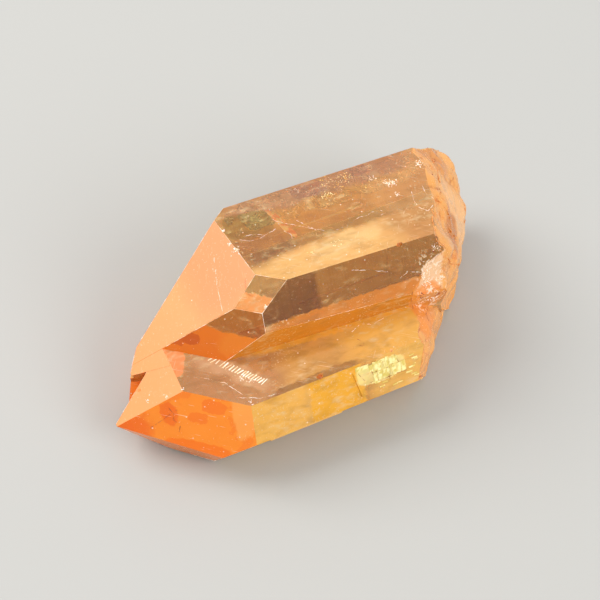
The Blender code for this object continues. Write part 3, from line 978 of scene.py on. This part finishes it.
# ----------------------------------------------
# Hairlines. White ones are healed cracks that reach the surface and dark ones are stained by iron.
# On the root, deeper orange ones lie in the creases. Each is a thin thread laid on the stone.
WHITE_LINES = (
    ((34.1, 28.3, 27.2), (34.9, 27.4, 27.2), (37.5, 25.1, 27.4), (40.8, 22.3, 27.5), (43.2, 21.6, 27.5)),
    ((33.6, 26.2, 27.3), (32.0, 25.9, 27.4), (30.3, 25.4, 27.4)),
    ((31.2, 25.9, 27.4), (30.0, 26.6, 27.3), (28.0, 27.0, 27.3)),
    ((30.3, 25.4, 27.4), (28.4, 25.7, 27.4), (27.2, 26.5, 27.3)),
    ((34.6, 25.3, 27.4), (35.3, 24.1, 27.4), (35.0, 23.2, 27.5)),
    ((37.6, 26.6, 27.3), (39.4, 23.4, 27.5), (39.0, 22.0, 27.5)),
    ((46.2, 22.6, 27.5), (47.4, 22.7, 27.5), (48.9, 22.6, 27.5), (49.9, 22.9, 27.4)),
    ((58.6, 24.2, 27.2), (57.9, 22.6, 27.3), (57.7, 20.6, 27.4), (58.6, 19.1, 27.5), (60.4, 20.0, 27.4)),
    ((61.0, 24.6, 27.1), (60.6, 22.7, 27.3), (61.2, 21.2, 27.4)),
    ((50.0, 22.9, 27.4), (51.4, 22.8, 27.4), (52.0, 21.8, 27.4), (50.6, 21.6, 27.5)),
    ((22.8, 27.1, 25.2), (21.0, 22.2, 23.9), (19.7, 17.6, 23.0)),
    ((41.1, 14.1, 26.4), (44.0, 13.6, 25.6), (47.4, 12.7, 24.4)),
    ((49.4, 11.7, 22.9), (51.0, 12.0, 23.4), (52.8, 11.5, 22.9)),
    ((40.1, 9.8, 15.7), (42.4, 10.6, 15.7), (44.0, 9.6, 15.7), (46.4, 10.0, 15.8)),
    ((17.0, 6.5, 15.3), (20.2, 4.9, 15.2), (23.5, 4.3, 15.2)),
    ((14.0, 12.0, 15.3), (16.5, 9.8, 15.3), (18.2, 6.6, 15.3)),
)
DARK_LINES = (
    ((4.4, 11.6, 7.9), (5.6, 11.2, 8.9), (6.7, 10.9, 10.1), (7.7, 10.7, 11.3), (8.6, 10.4, 12.0)),
    ((7.4, 11.1, 12.0), (7.9, 10.3, 11.2), (7.7, 9.9, 10.2), (8.5, 9.0, 9.4), (8.2, 8.6, 8.4)),
    ((40.2, 8.2, 15.6), (40.8, 7.3, 15.6), (40.5, 6.5, 15.6), (39.8, 6.9, 15.6)),
    ((37.3, 3.4, 14.8), (37.6, 2.6, 13.9), (38.4, 2.0, 12.8)),
    ((44.6, 3.2, 14.9), (45.1, 2.2, 13.4), (45.4, 1.7, 12.4)),
    ((24.8, 19.4, 26.5), (23.6, 17.4, 25.8), (24.8, 15.9, 25.7)),
    ((51.2, 10.0, 20.2), (51.5, 10.3, 18.0), (52.0, 9.0, 15.7), (52.9, 6.6, 14.9)),
    ((57.4, 10.2, 18.4), (56.4, 9.6, 16.4), (55.0, 8.2, 14.6), (54.1, 7.4, 13.8)),
    ((39.6, 3.2, 14.9), (39.9, 2.6, 13.8), (40.0, 2.2, 13.2)),
    ((42.2, 3.1, 14.9), (42.4, 2.5, 13.6), (42.6, 2.2, 13.0)),
    ((38.0, 2.7, 13.6), (41.0, 2.4, 13.4), (45.0, 2.3, 13.5)),
    ((39.0, 1.6, 12.1), (42.5, 1.5, 12.0), (46.6, 1.4, 12.0)),
)


# Noise scales, for each metre, of a thread's wander and of its swelling.
WANDER_SCALE = 1400.0
SWELL_SCALE = 1800.0


def thread_tree():
    """A thin round thread along each line, wandering a little and swelling and thinning as it goes."""
    labels = (("Step", "Float"), ("Thickness", "Float"), ("Wander", "Float"))
    tree, start, end = node_tree("threads", labels)
    curve = add(tree, "GeometryNodeMeshToCurve", {0: start["Geometry"]}).outputs[0]
    inputs = {"Curve": curve, "Length": start["Step"]}
    curve = add(tree, "GeometryNodeResampleCurve", inputs, mode="LENGTH").outputs[0]
    here = add(tree, "GeometryNodeInputPosition").outputs[0]
    inputs = {"Vector": here, "Scale": WANDER_SCALE, "Detail": 3.0}
    shake = push(tree, add(tree, "ShaderNodeTexNoise", inputs).outputs["Color"], start["Wander"])
    curve = add(tree, "GeometryNodeSetPosition", {"Geometry": curve, "Offset": shake}).outputs[0]
    inputs = {"Vector": here, "Scale": SWELL_SCALE, "Detail": 2.0}
    swell = add(tree, "ShaderNodeTexNoise", inputs).outputs["Fac"]
    swell = calc(tree, "MULTIPLY", ramp(tree, swell, 0.35, 0.65, 0.25, 1.3), start["Thickness"])
    curve = add(tree, "GeometryNodeSetCurveRadius", {"Curve": curve, "Radius": swell}).outputs[0]
    ring = add(tree, "GeometryNodeCurvePrimitiveCircle", {"Resolution": 5, "Radius": 1.0}).outputs[0]
    inputs = {"Curve": curve, "Profile Curve": ring, "Fill Caps": True}
    thread = add(tree, "GeometryNodeCurveToMesh", inputs)
    if "Scale" in thread.inputs:
        tree.links.new(swell, thread.inputs["Scale"])
    return end_tree(tree, thread.outputs[0], start, end)


def surface_lines(name, lines):
    """Each line as bare edges that follow the stone's surface."""
    places, edges = [], []
    for line in lines:
        for first, last in zip(line, line[1:]):
            for step in range(6):
                place = spot(*first).lerp(spot(*last), step / 6)
                places.append(surface.find_nearest(place)[0])
                edges.append((len(places) - 1, len(places)))
        places.append(surface.find_nearest(spot(*line[-1]))[0])
    return line_mesh(name, places, edges)


CREASE_LINES = (
    ((62.0, 23.6, 26.0), (64.0, 22.4, 24.1), (65.6, 21.0, 20.9), (64.6, 19.2, 20.7), (68.0, 19.2, 12.3)),
    ((69.5, 33.2, 22.0), (68.4, 30.6, 23.1), (68.0, 28.3, 21.6), (64.2, 23.2, 24.5), (59.5, 19.0, 27.6)),
    ((59.5, 19.0, 27.6), (57.8, 16.6, 27.7), (56.9, 13.6, 26.9), (57.9, 12.3, 23.9), (61.0, 13.3, 19.5)),
    ((61.0, 13.3, 19.5), (64.0, 15.6, 15.0), (67.9, 18.3, 9.8)),
    ((76.3, 31.0, 11.3), (75.2, 28.1, 11.7), (74.0, 26.0, 10.0)),
)
threads = thread_tree()
thread_sizes = {"Step": 0.16 * MM, "Thickness": 0.036 * MM, "Wander": 0.45 * MM}
thread_sizes.update({"Seed": 1, "Material": crushed})
white_lines = grow("white_hairlines", threads, surface_lines("white_lines", WHITE_LINES), thread_sizes)
add_piece("white_hairlines", white_lines, crushed)
stain = bright_quartz("iron_stained_crack", "#8E3E10", "#B85E22", 0.5)
dark_sizes = dict(thread_sizes, Thickness=0.036 * MM, Wander=0.5 * MM, Material=stain)
dark_lines = grow("dark_hairlines", threads, surface_lines("dark_lines", DARK_LINES), dark_sizes)
add_piece("dark_hairlines", dark_lines, stain)
amber = bright_quartz("iron_stained_crease", "#D07A30", "#EA9C50", 0.4)
crease_sizes = dict(thread_sizes, Thickness=0.09 * MM, Wander=1.2 * MM, Material=amber)
creases = grow("root_creases", threads, surface_lines("crease_lines", CREASE_LINES), crease_sizes)
add_piece("root_creases", creases, amber)

# ----------------------------------------------
# The table under the stone, the soft boxes, the sky and the camera. The table is pale matt paper, set a
# hair's breadth below the stone so that the two never share a plane.
# Half the table's width in metres, and its gap below the stone in millimetres.
TABLE = 1.6
TABLE_GAP = 0.15
LENS = 84
EYE = spot(-49.3, -100.6, 198.4)
AIM = spot(37.2, 21.7, 12.0)
ROLL = math.radians(8.26)
SKY = "#F9FCFF"
SKY_STRENGTH = 0.90

floor_mesh = bpy.data.meshes.new("table")
floor_bm = bmesh.new()
bmesh.ops.create_grid(floor_bm, x_segments=1, y_segments=1, size=TABLE)
floor_bm.to_mesh(floor_mesh)
floor_bm.free()
floor_mesh.transform(Matrix.Translation((0, 0, -TABLE_GAP * MM)))
floor = bpy.data.objects.new("table", floor_mesh)
bpy.context.collection.objects.link(floor)
paper, _, paper_shader = blank_material("pale_matt_paper")
paper_shader.inputs["Base Color"].default_value = linear("#B0AEA9")
paper_shader.inputs["Roughness"].default_value = 0.9
floor_mesh.materials.append(paper)

camera = bpy.data.objects.new("camera", bpy.data.cameras.new("camera"))
bpy.context.collection.objects.link(camera)
camera.data.lens = LENS
camera.data.clip_start = 0.01
camera.location = EYE
view = (AIM - EYE).to_track_quat("-Z", "Y") @ Quaternion((0, 0, 1), ROLL)
camera.rotation_euler = view.to_euler()
bpy.context.scene.camera = camera


def soft_box(name, place, size, power):
    """A round, soft lamp that looks at the stone. Its place and size are in metres."""
    lamp = bpy.data.lights.new(name, "AREA")
    lamp.shape = "DISK"
    lamp.size = size
    lamp.energy = power
    box = bpy.data.objects.new(name, lamp)
    bpy.context.collection.objects.link(box)
    box.location = place
    box.rotation_euler = (-Vector(place)).to_track_quat("-Z", "Y").to_euler()


soft_box("window_light", (-0.60, 0.62, 0.85), 0.90, 12.0)
soft_box("room_fill", (0.45, -0.95, 0.80), 0.90, 8.0)

sky = bpy.data.worlds.new("studio")
sky.use_nodes = True
sky.node_tree.nodes["Background"].inputs["Color"].default_value = linear(SKY)
sky.node_tree.nodes["Background"].inputs["Strength"].default_value = SKY_STRENGTH
bpy.context.scene.world = sky
bpy.context.scene.view_settings.view_transform = "Standard"
